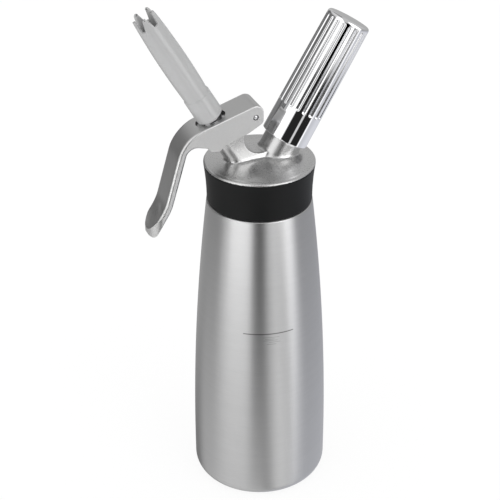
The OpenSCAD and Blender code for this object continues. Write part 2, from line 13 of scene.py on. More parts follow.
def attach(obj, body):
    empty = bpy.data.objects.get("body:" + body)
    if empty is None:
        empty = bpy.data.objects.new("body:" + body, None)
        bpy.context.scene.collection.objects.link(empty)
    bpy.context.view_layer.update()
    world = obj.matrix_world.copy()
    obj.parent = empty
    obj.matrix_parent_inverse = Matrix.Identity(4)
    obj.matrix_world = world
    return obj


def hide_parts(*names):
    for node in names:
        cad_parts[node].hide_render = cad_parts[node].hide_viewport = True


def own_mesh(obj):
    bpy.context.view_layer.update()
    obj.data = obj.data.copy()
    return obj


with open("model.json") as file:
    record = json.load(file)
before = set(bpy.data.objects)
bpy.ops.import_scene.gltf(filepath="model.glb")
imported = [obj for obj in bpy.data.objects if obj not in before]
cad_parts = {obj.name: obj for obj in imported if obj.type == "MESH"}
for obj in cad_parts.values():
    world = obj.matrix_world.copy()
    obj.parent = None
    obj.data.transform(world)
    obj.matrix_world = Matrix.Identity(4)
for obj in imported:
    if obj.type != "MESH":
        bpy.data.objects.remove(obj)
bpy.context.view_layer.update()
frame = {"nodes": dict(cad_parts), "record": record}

MM = 0.001

# The photograph's camera, worked out from the bottle, the ring, the holder and the lever
VIEW_AZIMUTH = math.radians(-22)
VIEW_PITCH = math.radians(31.1)
CAMERA_PLACE = Vector((-237.5, -587.8, 531.9)) * MM
CAMERA_LENS = 94.0
CAMERA_SHIFT = -0.0188

# Sizes shared by several pieces, in millimetres. The pivot is given as x and z.
SHOULDER_Z = 184.0
NOZZLE_TILT = math.radians(29.6)
NOZZLE_Z = SHOULDER_Z + 4.9
CHARGER_TILT = math.radians(30.4)
CHARGER_Z = SHOULDER_Z + 9.2
PIVOT_X, PIVOT_Z = -5.5, SHOULDER_Z + 52.8

# A quarter turn round X, which lays what was built round Z along Y
ONTO_Y = Matrix.Rotation(math.pi / 2, 4, "X")


# ---- shader helpers ----

class Graph:
    """A few words for building a node tree."""

    def __init__(self, tree):
        self.tree = tree
        self.tree.nodes.clear()

    def node(self, kind, **settings):
        made = self.tree.nodes.new(kind)
        for name, value in settings.items():
            setattr(made, name, value)
        return made

    def put(self, socket, value):
        if isinstance(value, bpy.types.NodeSocket):
            self.tree.links.new(value, socket)
        else:
            socket.default_value = value

    def math(self, operation, *values):
        made = self.node("ShaderNodeMath", operation=operation)
        for socket, value in zip(made.inputs, values):
            self.put(socket, value)
        return made.outputs[0]

    def step(self, value, low, high, start=0.0, end=1.0):
        """Runs smoothly from start at low to end at high."""
        made = self.node("ShaderNodeMapRange", interpolation_type="SMOOTHSTEP")
        low, high, start, end = (low, high, start, end) if low < high else (high, low, end, start)
        for name, number in (("From Min", low), ("From Max", high), ("To Min", start), ("To Max", end)):
            made.inputs[name].default_value = number
        self.put(made.inputs["Value"], value)
        return made.outputs["Result"]

    def window(self, value, low, high, soft):
        """1 between low and high, 0 outside, with soft edges."""
        up = self.step(value, low - soft, low + soft)
        down = self.step(value, high - soft, high + soft, 1.0, 0.0)
        return self.math("MULTIPLY", up, down)

    def combine(self, x, y, z):
        made = self.node("ShaderNodeCombineXYZ")
        for socket, value in zip(made.inputs, (x, y, z)):
            self.put(socket, value)
        return made.outputs[0]

    def separate(self, vector):
        made = self.node("ShaderNodeSeparateXYZ")
        self.put(made.inputs[0], vector)
        return made.outputs

    def scaled(self, vector, factors):
        made = self.node("ShaderNodeVectorMath", operation="MULTIPLY")
        self.put(made.inputs[0], vector)
        made.inputs[1].default_value = factors
        return made.outputs[0]

    def place(self):
        """The point's place on its object, in millimetres."""
        return self.scaled(self.node("ShaderNodeTexCoord").outputs["Object"], (1 / MM, 1 / MM, 1 / MM))

    def noise(self, vector, scale, detail=2.0, roughness=0.5):
        made = self.node("ShaderNodeTexNoise")
        self.put(made.inputs["Vector"], vector)
        made.inputs["Scale"].default_value = scale
        made.inputs["Detail"].default_value = detail
        made.inputs["Roughness"].default_value = roughness
        return made.outputs["Fac"]

    def tint(self, factor, first, second):
        made = self.node("ShaderNodeMix", data_type="RGBA")
        self.put(made.inputs["Factor"], factor)
        self.put(made.inputs["A"], (*first, 1.0) if isinstance(first, tuple) else first)
        self.put(made.inputs["B"], (*second, 1.0) if isinstance(second, tuple) else second)
        return made.outputs["Result"]

    def bump(self, height, strength, depth):
        """A relief whose depth is in millimetres."""
        made = self.node("ShaderNodeBump")
        self.put(made.inputs["Height"], height)
        made.inputs["Strength"].default_value = strength
        made.inputs["Distance"].default_value = depth * MM
        return made.outputs["Normal"]


def new_material(name, **numbers):
    """A material with a Principled shader, whose plain numbers are set on its own sockets."""
    material = bpy.data.materials.new(name)
    material.use_nodes = True
    graph = Graph(material.node_tree)
    shader = graph.node("ShaderNodeBsdfPrincipled")
    output = graph.node("ShaderNodeOutputMaterial")
    graph.put(output.inputs[0], shader.outputs[0])
    for socket, number in numbers.items():
        shader.inputs[socket.replace("_", " ")].default_value = number
    return material, graph, shader


def dress(graph, shader, pattern, colours, spread, roughness, relief=None):
    """Lets a pattern run between two colours and two roughnesses, and stand out as a relief."""
    graph.put(shader.inputs["Base Color"], graph.tint(pattern, *colours))
    graph.put(shader.inputs["Roughness"], graph.step(pattern, *spread, *roughness))
    if relief:
        graph.put(shader.inputs["Normal"], graph.bump(pattern, *relief))


# ---- materials ----

# The fill mark's heights in millimetres, and its angles in degrees round Z from the front
FILL_Z = 116.0
FILL_MIDDLE, FILL_HALF = -13.5, 23.2
LINE_HALF, DASH_HALF, MARK_BLUR = 0.32, 0.1, 0.12
LINE_DARKNESS, DASH_DARKNESS = 0.85, 0.62
# Each dash: how far it lies under the line, and the angles where it starts and ends
DASHES = ((2.2, -19.0, -4.0), (3.3, -17.0, -8.5), (4.2, -18.5, -5.5), (5.3, -13.5, -3.0),
          (6.6, -15.5, -7.0))


def fill_mark(graph, angle, z):
    """A thin line round the front at the fill height, and a few short dashes under its middle."""
    turn = graph.math("DEGREES", angle)

    def stroke(start, end, blur, height, half, darkness):
        in_turn = graph.window(turn, start, end, blur)
        in_height = graph.window(z, height - half, height + half, MARK_BLUR)
        return graph.math("MULTIPLY", graph.math("MULTIPLY", in_turn, in_height), darkness)

    mark = stroke(FILL_MIDDLE - FILL_HALF, FILL_MIDDLE + FILL_HALF, 0.4, FILL_Z, LINE_HALF, LINE_DARKNESS)
    for drop, start, end in DASHES:
        dash = stroke(start, end, 0.6, FILL_Z - drop, DASH_HALF, DASH_DARKNESS)
        mark = graph.math("MAXIMUM", mark, dash)
    return mark


def bottle_steel():
    """Steel brushed round the axis, with broad faint bands and the dark etched fill mark."""
    material, graph, shader = new_material("bottle_steel", Metallic=1.0, Anisotropic=0.6,
                                           Anisotropic_Rotation=0.25)
    x, y, z = graph.separate(graph.place())
    angle = graph.math("ARCTAN2", x, graph.math("MULTIPLY", y, -1.0))

    def rings(squeeze, *noise):
        """Noise drawn out round the bottle: a greater squeeze makes the strokes shorter."""
        return graph.noise(graph.combine(graph.math("MULTIPLY", angle, squeeze), 0.0, z), *noise)

    grain = rings(1.2, 5.0, 3.0, 0.7)
    broad = rings(2.0, 0.35, 2.0)
    colour = graph.tint(grain, (0.5, 0.5, 0.502), (0.62, 0.62, 0.622))
    colour = graph.tint(graph.step(broad, 0.3, 0.7, 0.0, 0.15), colour, (0.47, 0.47, 0.472))
    colour = graph.tint(fill_mark(graph, angle, z), colour, (0.12, 0.12, 0.12))
    graph.put(shader.inputs["Base Color"], colour)
    graph.put(shader.inputs["Roughness"], graph.step(grain, 0.2, 0.8, 0.3, 0.38))
    tangent = graph.node("ShaderNodeTangent", direction_type="RADIAL", axis="Z")
    graph.put(shader.inputs["Tangent"], tangent.outputs[0])
    graph.put(shader.inputs["Normal"], graph.bump(grain, 0.12, 0.05))
    return material


def satin_steel(name, stretch, scale, roughness, relief):
    """Steel with a fine grain, which the stretch draws out along an axis."""
    material, graph, shader = new_material(name, Metallic=1.0)
    grain = graph.noise(graph.scaled(graph.place(), stretch), scale, 3.0, 0.65)
    colours = (0.6, 0.599, 0.597), (0.68, 0.679, 0.677)
    dress(graph, shader, grain, colours, (0.25, 0.75), roughness, (relief, 0.04))
    return material


def polished(name, colour, roughness):
    """Metal with a faint smear, darker and smoother in places."""
    material, graph, shader = new_material(name, Metallic=1.0)
    smear = graph.noise(graph.place(), 0.15, 2.0)
    darker = tuple(0.94 * c for c in colour)
    dress(graph, shader, smear, (darker, colour), (0.3, 0.7), (roughness, roughness * 1.6))
    return material


def rubber(name, colour):
    """Dull silicone with a fine skin."""
    material, graph, shader = new_material(name, Specular_IOR_Level=0.18)
    skin = graph.noise(graph.place(), 6.0, 3.0, 0.6)
    lighter = tuple(1.35 * c for c in colour)
    dress(graph, shader, skin, (colour, lighter), (0.3, 0.7), (0.42, 0.52), (0.2, 0.04))
    return material


def tip_plastic():
    """Milky plastic, a little cloudy."""
    material, graph, shader = new_material("tip_plastic", Specular_IOR_Level=0.8)
    place = graph.place()
    cloud = graph.noise(place, 0.08, 2.0)
    fine = graph.noise(place, 0.9, 2.0)
    colour = graph.tint(cloud, (0.485, 0.487, 0.489), (0.525, 0.527, 0.529))
    graph.put(shader.inputs["Base Color"], colour)
    graph.put(shader.inputs["Roughness"], graph.step(fine, 0.3, 0.7, 0.22, 0.26))
    return material


def plain_plastic(name, colour):
    """Opaque dull plastic."""
    material, graph, shader = new_material(name)
    fine = graph.noise(graph.place(), 3.0, 2.0)
    darker = tuple(0.92 * c for c in colour)
    dress(graph, shader, fine, (darker, colour), (0.3, 0.7), (0.4, 0.5))
    return material


MATERIALS = {
    "bottle_steel": bottle_steel(),
    "head_steel": satin_steel("head_steel", (1.0, 1.0, 1.0), 1.6, (0.26, 0.33), 0.015),
    "lever_steel": satin_steel("lever_steel", (0.5, 2.5, 0.5), 2.2, (0.32, 0.4), 0.04),
    "pin_steel": polished("pin_steel", (0.66, 0.66, 0.67), 0.18),
    "spring_steel": polished("spring_steel", (0.55, 0.55, 0.57), 0.3),
    "charger_steel": polished("charger_steel", (0.6, 0.61, 0.63), 0.25),
    "holder_chrome": polished("holder_chrome", (0.9, 0.9, 0.91), 0.03),
    "black_rubber": rubber("black_rubber", (0.0042, 0.0045, 0.0047)),
    "grey_rubber": rubber("grey_rubber", (0.2, 0.2, 0.21)),
    "tip_plastic": tip_plastic(),
    "white_plastic": plain_plastic("white_plastic", (0.8, 0.8, 0.78)),
    "brass": polished("brass", (0.78, 0.58, 0.28), 0.22),
}


# ---- helpers for pieces ----

def slot_of(node):
    """The record's material slot of a CAD node."""
    return next(s["material_slot"] for s in frame["record"]["subparts"] if s["node"] == node)


def material_of(node):
    return MATERIALS[slot_of(node)]


def add_piece(name, mesh, node, body):
    """Puts a mesh in the scene in place of a CAD node, with the node's material and body."""
    piece = bpy.data.objects.new(name, mesh)
    bpy.context.scene.collection.objects.link(piece)
    mesh.materials.clear()
    mesh.materials.append(material_of(node))
    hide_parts(node)
    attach(piece, body)
    return piece


def node_mesh(node):
    """A copy of a CAD node's mesh, without the normals that came with it."""
    mesh = frame["nodes"][node].data.copy()
    if mesh.has_custom_normals:
        mesh.attributes.remove(mesh.attributes["custom_normal"])
    return mesh


def mesh_of(shape, name, smooth=False):
    """Turns a bmesh into a new mesh, and frees it."""
    for face in shape.faces:
        face.smooth = smooth
    mesh = bpy.data.meshes.new(name)
    shape.to_mesh(mesh)
    shape.free()
    return mesh


def apply_modifiers(piece):
    """Bakes a piece's modifiers into its mesh."""
    evaluated = piece.evaluated_get(bpy.context.evaluated_depsgraph_get())
    mesh = bpy.data.meshes.new_from_object(evaluated)
    piece.modifiers.clear()
    piece.data = mesh


def weigh_normals(piece):
    """Lets the large faces lead the shading, and bakes the piece's modifiers."""
    weighing = piece.modifiers.new("normals", "WEIGHTED_NORMAL")
    weighing.keep_sharp = True
    apply_modifiers(piece)


def shade_smooth(mesh, degrees):
    """Welds the mesh and smooths its faces, with edges sharper than the angle kept sharp."""
    weld = 0.001 * MM
    shape = bmesh.new()
    shape.from_mesh(mesh)
    bmesh.ops.remove_doubles(shape, verts=shape.verts, dist=weld)
    for face in shape.faces:
        face.smooth = True
    for edge in shape.edges:
        edge.smooth = len(edge.link_faces) == 2 and edge.calc_face_angle(0) < math.radians(degrees)
    shape.to_mesh(mesh)
    shape.free()


def softened(name, node, body, width):
    """The node's own form with welded faces, edges rounded to width millimetres, and smooth curves."""
    weld, flat, sharp = 0.002 * MM, math.radians(0.4), math.radians(35)
    mesh = node_mesh(node)
    shape = bmesh.new()
    shape.from_mesh(mesh)
    bmesh.ops.remove_doubles(shape, verts=shape.verts, dist=weld)
    bmesh.ops.dissolve_limit(shape, angle_limit=flat, verts=shape.verts, edges=shape.edges)
    for face in shape.faces:
        face.smooth = True
    shape.to_mesh(mesh)
    shape.free()
    piece = add_piece(name, mesh, node, body)
    rounding = piece.modifiers.new("rounding", "BEVEL")
    rounding.width = width * MM
    rounding.segments = 3
    rounding.limit_method = "ANGLE"
    rounding.angle_limit = sharp
    rounding.use_clamp_overlap = False
    weigh_normals(piece)
    return piece


def spread(start, length, parts):
    """Evenly spaced numbers from start to start + length."""
    return [start + length * i / parts for i in range(parts + 1)]


def arc(centre_r, centre_z, radius, first, last, parts):
    """Points (radius, height) of an arc between two angles in degrees."""
    turns = [math.radians(angle) for angle in spread(first, last - first, parts)]
    return [(centre_r + radius * math.cos(turn), centre_z + radius * math.sin(turn)) for turn in turns]


def skin_of(name, rings):
    """A smooth skin over rings of places in millimetres, the last ring joined to the first."""
    shape = bmesh.new()
    rows = [[shape.verts.new([c * MM for c in place]) for place in ring] for ring in rings]
    for row, following in zip(rows, rows[1:] + rows[:1]):
        for i in range(len(row)):
            j = (i + 1) % len(row)
            shape.faces.new((row[i], row[j], following[j], following[i]))
    bmesh.ops.recalc_face_normals(shape, faces=shape.faces)
    return mesh_of(shape, name, smooth=True)


def circle(radius, height, segments):
    """A level ring of places round the Z axis."""
    turns = [2 * math.pi * i / segments for i in range(segments)]
    return [(radius * math.cos(turn), radius * math.sin(turn), height) for turn in turns]


def turned(name, profile, segments):
    """A turned mesh: profile is a closed list of (radius, height) in millimetres round the Z axis."""
    return skin_of(name, [circle(radius, height, segments) for radius, height in profile])


# ---- bottle and ring ----

def bottle_piece():
    """The bottle as it is turned: rounded foot, long tapering side, ledge and ringed neck."""
    bottle_r, shoulder_r, taper_z, corner_r = 39.4, 29.4, 15.0, 7.0
    foot_r, pole_r = 16.0, 0.02
    neck_r, neck_top, wall, neck_wall = 26.35, 203.0, 1.0, 1.5
    lip, ledge_under = 0.7, 4.0
    ring_count, ring_pitch, ring_depth, first_ring = 4, 3.6, 0.35, 3.2
    drop, rise = bottle_r - shoulder_r, SHOULDER_Z - taper_z
    arc_r = (rise * rise + drop * drop) / (2 * drop)

    def side(z, inset=0.0):
        """The side's radius at a height above the taper's start."""
        return bottle_r - inset - arc_r + math.sqrt(arc_r ** 2 - (z - taper_z) ** 2)

    outside = [(pole_r, 0.0), (foot_r, 0.0)]
    outside += arc(bottle_r - corner_r, corner_r, corner_r, -90, 0, 12)
    outside += [(side(z), z) for z in spread(taper_z, rise - lip, 40)]
    outside += arc(outside[-1][0] - lip, SHOULDER_Z - lip, lip, 0, 90, 6)[1:]
    outside += [(neck_r + 0.4, SHOULDER_Z + 0.02), (neck_r, SHOULDER_Z + 0.4)]
    for i in range(ring_count):
        z = SHOULDER_Z + first_ring + ring_pitch * i
        outside += [(neck_r - ring_depth, z - 1.2), (neck_r, z - 0.5), (neck_r, z + 0.5),
                    (neck_r - ring_depth, z + 1.2)]
    outside += [(neck_r - 0.1, neck_top - 0.8), (neck_r - 0.6, neck_top)]
    bore_r = neck_r - neck_wall
    inside = [(bore_r + 0.3, neck_top), (bore_r, neck_top - 0.4), (bore_r, SHOULDER_Z - 1.6)]
    inside += [(side(z, wall), z) for z in reversed(spread(taper_z, rise - ledge_under, 20))]
    inside += reversed(arc(bottle_r - corner_r, corner_r, corner_r - wall, -90, 0, 8))
    inside.append((pole_r, wall))
    return add_piece("bottle_shell", turned("bottle_shell", outside + inside, 192), "bottle", "bottle")


def ring_piece():
    """The silicone grip ring, drawn in at its waist."""
    inner_r, low, high = 28.43, 184.3, 206.35
    waist_r, top_r, waist_z = 29.2, 30.7, 186.0
    edge = 0.3
    profile = [(inner_r + edge, low), (waist_r - 0.35, low), (waist_r - 0.05, low + edge)]
    for z in spread(low + 0.7, high - low - 1.3, 16):
        profile.append((waist_r + (top_r - waist_r) * ((z - waist_z) / (high - waist_z)) ** 2, z))
    profile += [(top_r - 0.06, high - 0.2), (top_r - edge, high), (inner_r, high), (inner_r, low + edge)]
    return add_piece("grip_band", turned("grip_band", profile, 160), "grip_ring", "head")


# ---- charger holder ----

def holder_piece():
    """The chromed holder: a tapered cup whose flutes end in the round. Heights lie along its axis."""
    mouth_r, end_r = 13.1, 12.2
    low, high = 28.85, 101.5
    bore_r, thread_r, thread_end, inside_end = 9.12, 9.98, 42.4, 99.9
    flutes, per_flute = 20, 18
    cutter_r, depth = 1.1, 0.62
    flute_low, flute_high = low + 19.0, high - 3.2
    mouth_round, corner, pole_r = 0.45, 1.6, 0.02
    # the stretch at each end of the flutes that takes close rows
    end_rows = 2.25

    def wall(q):
        return mouth_r + (end_r - mouth_r) * (q - low) / (high - low)

    places = [low + 0.55, low + 0.8, low + 1.5]
    places += spread(low + 4, 12.0, 6)
    places += [flute_low - cutter_r - 0.4, flute_low - cutter_r - 0.1]
    places += spread(flute_low - cutter_r, end_rows, 15)
    places += spread(flute_low + 1.5, flute_high - flute_low - 3.0, 20)
    places += spread(flute_high + cutter_r - end_rows, end_rows, 15)
    places += [flute_high + cutter_r + 0.1, high - 1.75]
    outside = [(wall(low) - mouth_round, low), (wall(low) - 0.12, low + 0.12),
               (wall(low), low + mouth_round)]
    outside += [(wall(q), q) for q in places]
    outside += arc(end_r - corner, high - corner, corner, 0, 90, 6)
    outside += [(end_r * share, high) for share in (0.82, 0.7, 0.5, 0.25, 0.05, 0.01, 0.003)]
    inside = [(pole_r, inside_end), (bore_r - 1.2, inside_end), (bore_r - 0.3, inside_end - 0.3),
              (bore_r, inside_end - 1.2), (bore_r, thread_end + 0.9), (thread_r, thread_end),
              (thread_r, low + 0.5), (thread_r + 0.5, low)]

    def fluted(radius, q, away):
        """The wall's radius at an angle away from a flute's middle, where a round cutter took it down."""
        past = max(0.0, flute_low - q, q - flute_high)
        centre = radius + cutter_r - depth
        reach = cutter_r ** 2 - past ** 2 - (centre * math.sin(away)) ** 2
        return min(radius, centre * math.cos(away) - math.sqrt(reach)) if reach > 0 else radius

    rings = []
    for radius, q in outside:
        ring = []
        for i in range(flutes * per_flute):
            turn = 2 * math.pi * i / (flutes * per_flute)
            share = (i % per_flute) / per_flute
            away = (share - 1 if share > 0.5 else share) * 2 * math.pi / flutes
            r = fluted(radius, q, away) if flute_low - cutter_r < q < flute_high + cutter_r else radius
            ring.append((r * math.cos(turn), r * math.sin(turn), q))
        rings.append(ring)
    rings += [circle(radius, q, flutes * per_flute) for radius, q in inside]
    mesh = skin_of("holder_cup", rings)
    mesh.transform(Matrix.Translation((0, 0, CHARGER_Z * MM)) @ Matrix.Rotation(CHARGER_TILT, 4, "Y"))
    return add_piece("holder_cup", mesh, "charger_holder", "holder")


# ---- head ----

class Surface:
    """The places, edges and faces of a mesh of quads, as arrays."""

    def __init__(self, mesh):
        self.mesh = mesh
        self.n = len(mesh.vertices)
        place = np.zeros(self.n * 3)
        mesh.vertices.foreach_get("co", place)
        self.place = place.reshape(self.n, 3)
        edges = np.zeros(len(mesh.edges) * 2, int)
        mesh.edges.foreach_get("vertices", edges)
        self.edges = edges.reshape(-1, 2)
        self.count = np.bincount(edges, minlength=self.n)[:, None]
        corners = np.zeros(len(mesh.loops), int)
        mesh.loops.foreach_get("vertex_index", corners)
        self.quads = corners.reshape(-1, 4)

    def normals(self):
        a, b, c, d = (self.place[self.quads[:, k]] for k in range(4))
        across = np.cross(c - a, d - b)
        normal = np.zeros((self.n, 3))
        for k in range(4):
            np.add.at(normal, self.quads[:, k], across)
        return normal / np.maximum(np.linalg.norm(normal, axis=1), 1e-20)[:, None]

    def mean(self, values):
        """The mean of each vertex's neighbours."""
        total = np.zeros_like(values)
        np.add.at(total, self.edges[:, 0], values[self.edges[:, 1]])
        np.add.at(total, self.edges[:, 1], values[self.edges[:, 0]])
        return total / self.count

    def store(self):
        self.mesh.vertices.foreach_set("co", self.place.ravel())
        self.mesh.update()


def fill_creases(mesh, passes):
    """Fills the creases round the foot of the neck and the boss, and leaves every bore alone."""
    dome_low, dome_high, dome_r = 207.6, 222.0, 27.0
    nozzle_clear, charger_clear = 5.6, 5.2
    pace = 0.9
    surface = Surface(mesh)
    place = surface.place

    def off_axis(tilt, height):
        """How far each vertex lies from a tilted axis that starts on Z at the height."""
        way = np.array((math.sin(tilt), 0.0, math.cos(tilt)))
        rel = place - np.array((0.0, 0.0, height * MM))
        return np.linalg.norm(rel - (rel @ way)[:, None] * way, axis=1)

    soft = (place[:, 2] > dome_low * MM) & (place[:, 2] < dome_high * MM)
    soft &= np.hypot(place[:, 0], place[:, 1]) < dome_r * MM
    soft &= off_axis(-NOZZLE_TILT, NOZZLE_Z) > nozzle_clear * MM
    soft &= off_axis(CHARGER_TILT, CHARGER_Z) > charger_clear * MM
    for _ in range(passes):
        normal = surface.normals()
        out = np.einsum("ij,ij->i", surface.mean(place) - place, normal)
        place += np.where(soft & (out > 0), out, 0)[:, None] * normal * pace
    surface.store()


def even_out(mesh, passes):
    """Takes the ripples out of smooth stretches and keeps every edge where it is."""
    flattest = 0.975
    shrink, swell = 0.5, -0.52
    surface = Surface(mesh)
    sharp = np.linalg.norm(surface.mean(surface.normals()), axis=1) < flattest
    for _ in range(2):
        near = surface.mean(sharp.astype(float)[:, None])[:, 0] > 0
        sharp = sharp | near
    calm = (~sharp)[:, None]
    for _ in range(passes):
        for pull in (shrink, swell):
            surface.place += np.where(calm, surface.mean(surface.place) - surface.place, 0) * pull
    surface.store()


def head_piece():
    """The head with soft fillets where its neck and boss rise out of the dome."""
    piece = add_piece("head_casting", node_mesh("head"), "head", "head")
    remesh = piece.modifiers.new("remesh", "REMESH")
    remesh.mode = "VOXEL"
    remesh.voxel_size = 0.4 * MM
    apply_modifiers(piece)
    fill_creases(piece.data, 30)
    even_out(piece.data, 24)
    for polygon in piece.data.polygons:
        polygon.use_smooth = True
    return piece


# ---- lever: outlines are in X and Z, in millimetres ----

TOP_SLOPE, HANDLE_SLOPE, REST_SLOPE = (math.radians(degrees) for degrees in (17.7, 73.6, 57.6))
PLATE_RISE = 6.9
HANDLE_T = 4.4
HALF_W = 8.8
REST_END_R = 8.4
DISH_R, DISH_DEPTH = 26.0, 0.8


def plate_top(x):
    """The height of the plate's top face."""
    return PIVOT_Z + PLATE_RISE + (x - PIVOT_X) * math.tan(TOP_SLOPE)


def along(slope, down, inwards):
    """A step down a slope, and inwards at a right angle to it."""
    return Vector((-down * math.cos(slope) + inwards * math.sin(slope),
                   -down * math.sin(slope) - inwards * math.cos(slope)))


BEND_X = PIVOT_X - 40.4
BEND = Vector((BEND_X, plate_top(BEND_X)))
FLARE = BEND + along(HANDLE_SLOPE, 41.0, 0)
REST_END = FLARE + along(REST_SLOPE, 14.9, 0)
REST_MIDDLE = (FLARE + REST_END) / 2


def rounded(points, steps=10):
    """A closed outline of (x, z, corner radius), its corners turned into arcs."""
    made = []
    for i, (x, z, r) in enumerate(points):
        corner = Vector((x, z))
        back = (Vector(points[i - 1][:2]) - corner).normalized()
        ahead = (Vector(points[(i + 1) % len(points)][:2]) - corner).normalized()
        half = math.acos(max(-1.0, min(1.0, back.dot(ahead)))) / 2
        centre = corner + (back + ahead).normalized() * r / math.sin(half)
        first = corner + back * r / math.tan(half) - centre
        last = corner + ahead * r / math.tan(half) - centre
        start = math.atan2(first.y, first.x)
        sweep = math.atan2(first.x * last.y - first.y * last.x, first.dot(last))
        for k in range(steps + 1):
            turn = start + sweep * k / steps
            made.append(centre + r * Vector((math.cos(turn), math.sin(turn))))
    return made


def refined(points, longest):
    """The same outline with no edge longer than longest."""
    made = []
    for i, here in enumerate(points):
        following = points[(i + 1) % len(points)]
        parts = max(1, math.ceil((following - here).length / longest))
        made += [here.lerp(following, k / parts) for k in range(parts)]
    return made


def lever_outline():
    """Round the plate from its nose at the pivot, down the handle's inner side and back up."""
    x, z = PIVOT_X, PIVOT_Z
    nose_x = x + 4.6
    bend_in = BEND + along(HANDLE_SLOPE, 0, HANDLE_T)
    flare_in = FLARE + along(HANDLE_SLOPE, 0, HANDLE_T)
    ends = [REST_END + Vector(shift) for shift in ((3.4, -2.6), (1.6, -4.1), (-0.5, -3.5), (-0.45, -0.2))]
    corners = [
        (nose_x, plate_top(nose_x), 4.6), (nose_x, z - 3.8, 3.5), (x - 4, z - 8.6, 10),
        (x - 17.3, z - 13.5, 3), (x - 20.3, z - 16.2, 2.4), (x - 24.9, z - 16.2, 2.4),
        (x - 27.1, z - 13.2, 3), (bend_in.x - 1, z - 11, 6), (*flare_in, 30),
        (*ends[0], 1.6), (*ends[1], 1.2), (*ends[2], 1.3), (*ends[3], 0.8),
        (*FLARE, 30), (*BEND, 22)]
    return refined(rounded(corners), 1.2)


def outward_of(outline):
    """The outline's normals, away from its inside."""
    steps = [b - a for a, b in zip(outline[-1:] + outline[:-1], outline[1:] + outline[:1])]
    area = sum(a.x * b.y - b.x * a.y for a, b in zip(outline, outline[1:] + outline[:1]))
    way = -1 if area < 0 else 1
    return [Vector((step.y, -step.x)).normalized() * way for step in steps]


def edge_round(x):
    """The rounding of the lever's long edges: small on the plate, full down the handle."""
    least, more, plate_end, blend = 0.6, 1.3, -33.0, 12.0
    part = min(1.0, max(0.0, (plate_end - x) / blend))
    return least + more * part * part * (3 - 2 * part)


def dished(spot, point):
    """Moves a spot of the finger rest's face, near a point of the outline, onto its round dish."""
    reach, face_depth = 9.0, 1.0
    centre = REST_MIDDLE + along(REST_SLOPE, 0, DISH_DEPTH - DISH_R)
    centre = Vector((centre.x, 0, centre.y))
    away = spot - centre
    from_middle = point - REST_MIDDLE
    on_face = from_middle.length < reach and from_middle.dot(along(REST_SLOPE, 0, 1)) < face_depth
    return centre + away * DISH_R / away.length if on_face and away.length < DISH_R else spot


def lever_skin(outline):
    """The outline drawn across Y, with rounded long edges and closed sides."""
    arcs, columns = 6, 14
    turns = [math.pi / 2 * k / arcs for k in range(arcs + 1)]
    shape = bmesh.new()
    rows = []
    for point, out in zip(outline, outward_of(outline)):
        r = edge_round(point.x)
        edge = [(point - out * r * (1 - math.sin(turn)), -HALF_W + r * (1 - math.cos(turn)))
                for turn in turns]
        face = [(point, (-HALF_W + r) * (1 - 2 * c / columns)) for c in range(1, columns)]
        other = [(place, -y) for place, y in reversed(edge)]
        spots = [dished(Vector((place.x, y, place.y)), point) for place, y in edge + face + other]
        rows.append([shape.verts.new(spot * MM) for spot in spots])
    for row, following in zip(rows, rows[1:] + rows[:1]):
        for k in range(len(row) - 1):
            shape.faces.new((row[k], following[k], following[k + 1], row[k + 1]))
    for k in (0, -1):
        border = [Vector((row[k].co.x, row[k].co.z, 0)) for row in rows]
        for triangle in tessellate_polygon([border]):
            shape.faces.new([rows[i][k] for i in triangle])
    bmesh.ops.recalc_face_normals(shape, faces=shape.faces)
    return mesh_of(shape, "squeeze_lever")


def prism(points, half_w):
    """A slab across Y from an outline."""
    shape = bmesh.new()
    sides = [[shape.verts.new((q.x * MM, y * MM, q.y * MM)) for q in points] for y in (-half_w, half_w)]
    for i in range(len(points)):
        j = (i + 1) % len(points)
        shape.faces.new((sides[0][i], sides[0][j], sides[1][j], sides[1][i]))
    shape.faces.new(sides[0])
    shape.faces.new(sides[1])
    bmesh.ops.recalc_face_normals(shape, faces=shape.faces)
    return mesh_of(shape, "cutter")


def channel_cutter():
    """The room under the plate, between its two cheeks."""
    plate_t, half_room, nose_wall, room, deep = 2.2, 6.7, 3.5, 31.0, 30.0
    drop = plate_t / math.cos(TOP_SLOPE)
    front_x, back_x, low = PIVOT_X - room, PIVOT_X + nose_wall, PIVOT_Z - deep
    corners = [(back_x, plate_top(back_x) - drop, 3), (back_x, low, 0.1),
               (front_x, low, 0.1), (front_x, plate_top(front_x) - drop, 2)]
    return prism(rounded(corners), half_room)


def nozzle_cutter():
    """The long hole that the nozzle comes through, square to the plate."""
    radius, straight, half_deep, up_nozzle, shift, parts = 5.5, 3.0, 6.0, 53.7, -1.0, 20
    turns = [math.pi * (k / parts - 0.5) for k in range(parts + 1)]
    half = [Vector((straight + radius * math.cos(turn), radius * math.sin(turn))) for turn in turns]
    mesh = prism(half + [-place for place in half], half_deep)
    centre = Vector((-up_nozzle * math.sin(NOZZLE_TILT), 0, NOZZLE_Z + up_nozzle * math.cos(NOZZLE_TILT)))
    lean = Matrix.Rotation(-TOP_SLOPE, 4, "Y") @ Matrix.Translation((shift * MM, 0, 0)) @ ONTO_Y
    mesh.transform(Matrix.Translation(centre * MM) @ lean)
    return mesh


def pin_cutter():
    """The hole that the pivot pin runs through."""
    radius, half_deep, segments = 1.62, 12.0, 40
    turns = [2 * math.pi * k / segments for k in range(segments)]
    places = [Vector((PIVOT_X + radius * math.cos(a), PIVOT_Z + radius * math.sin(a))) for a in turns]
    return prism(places, half_deep)


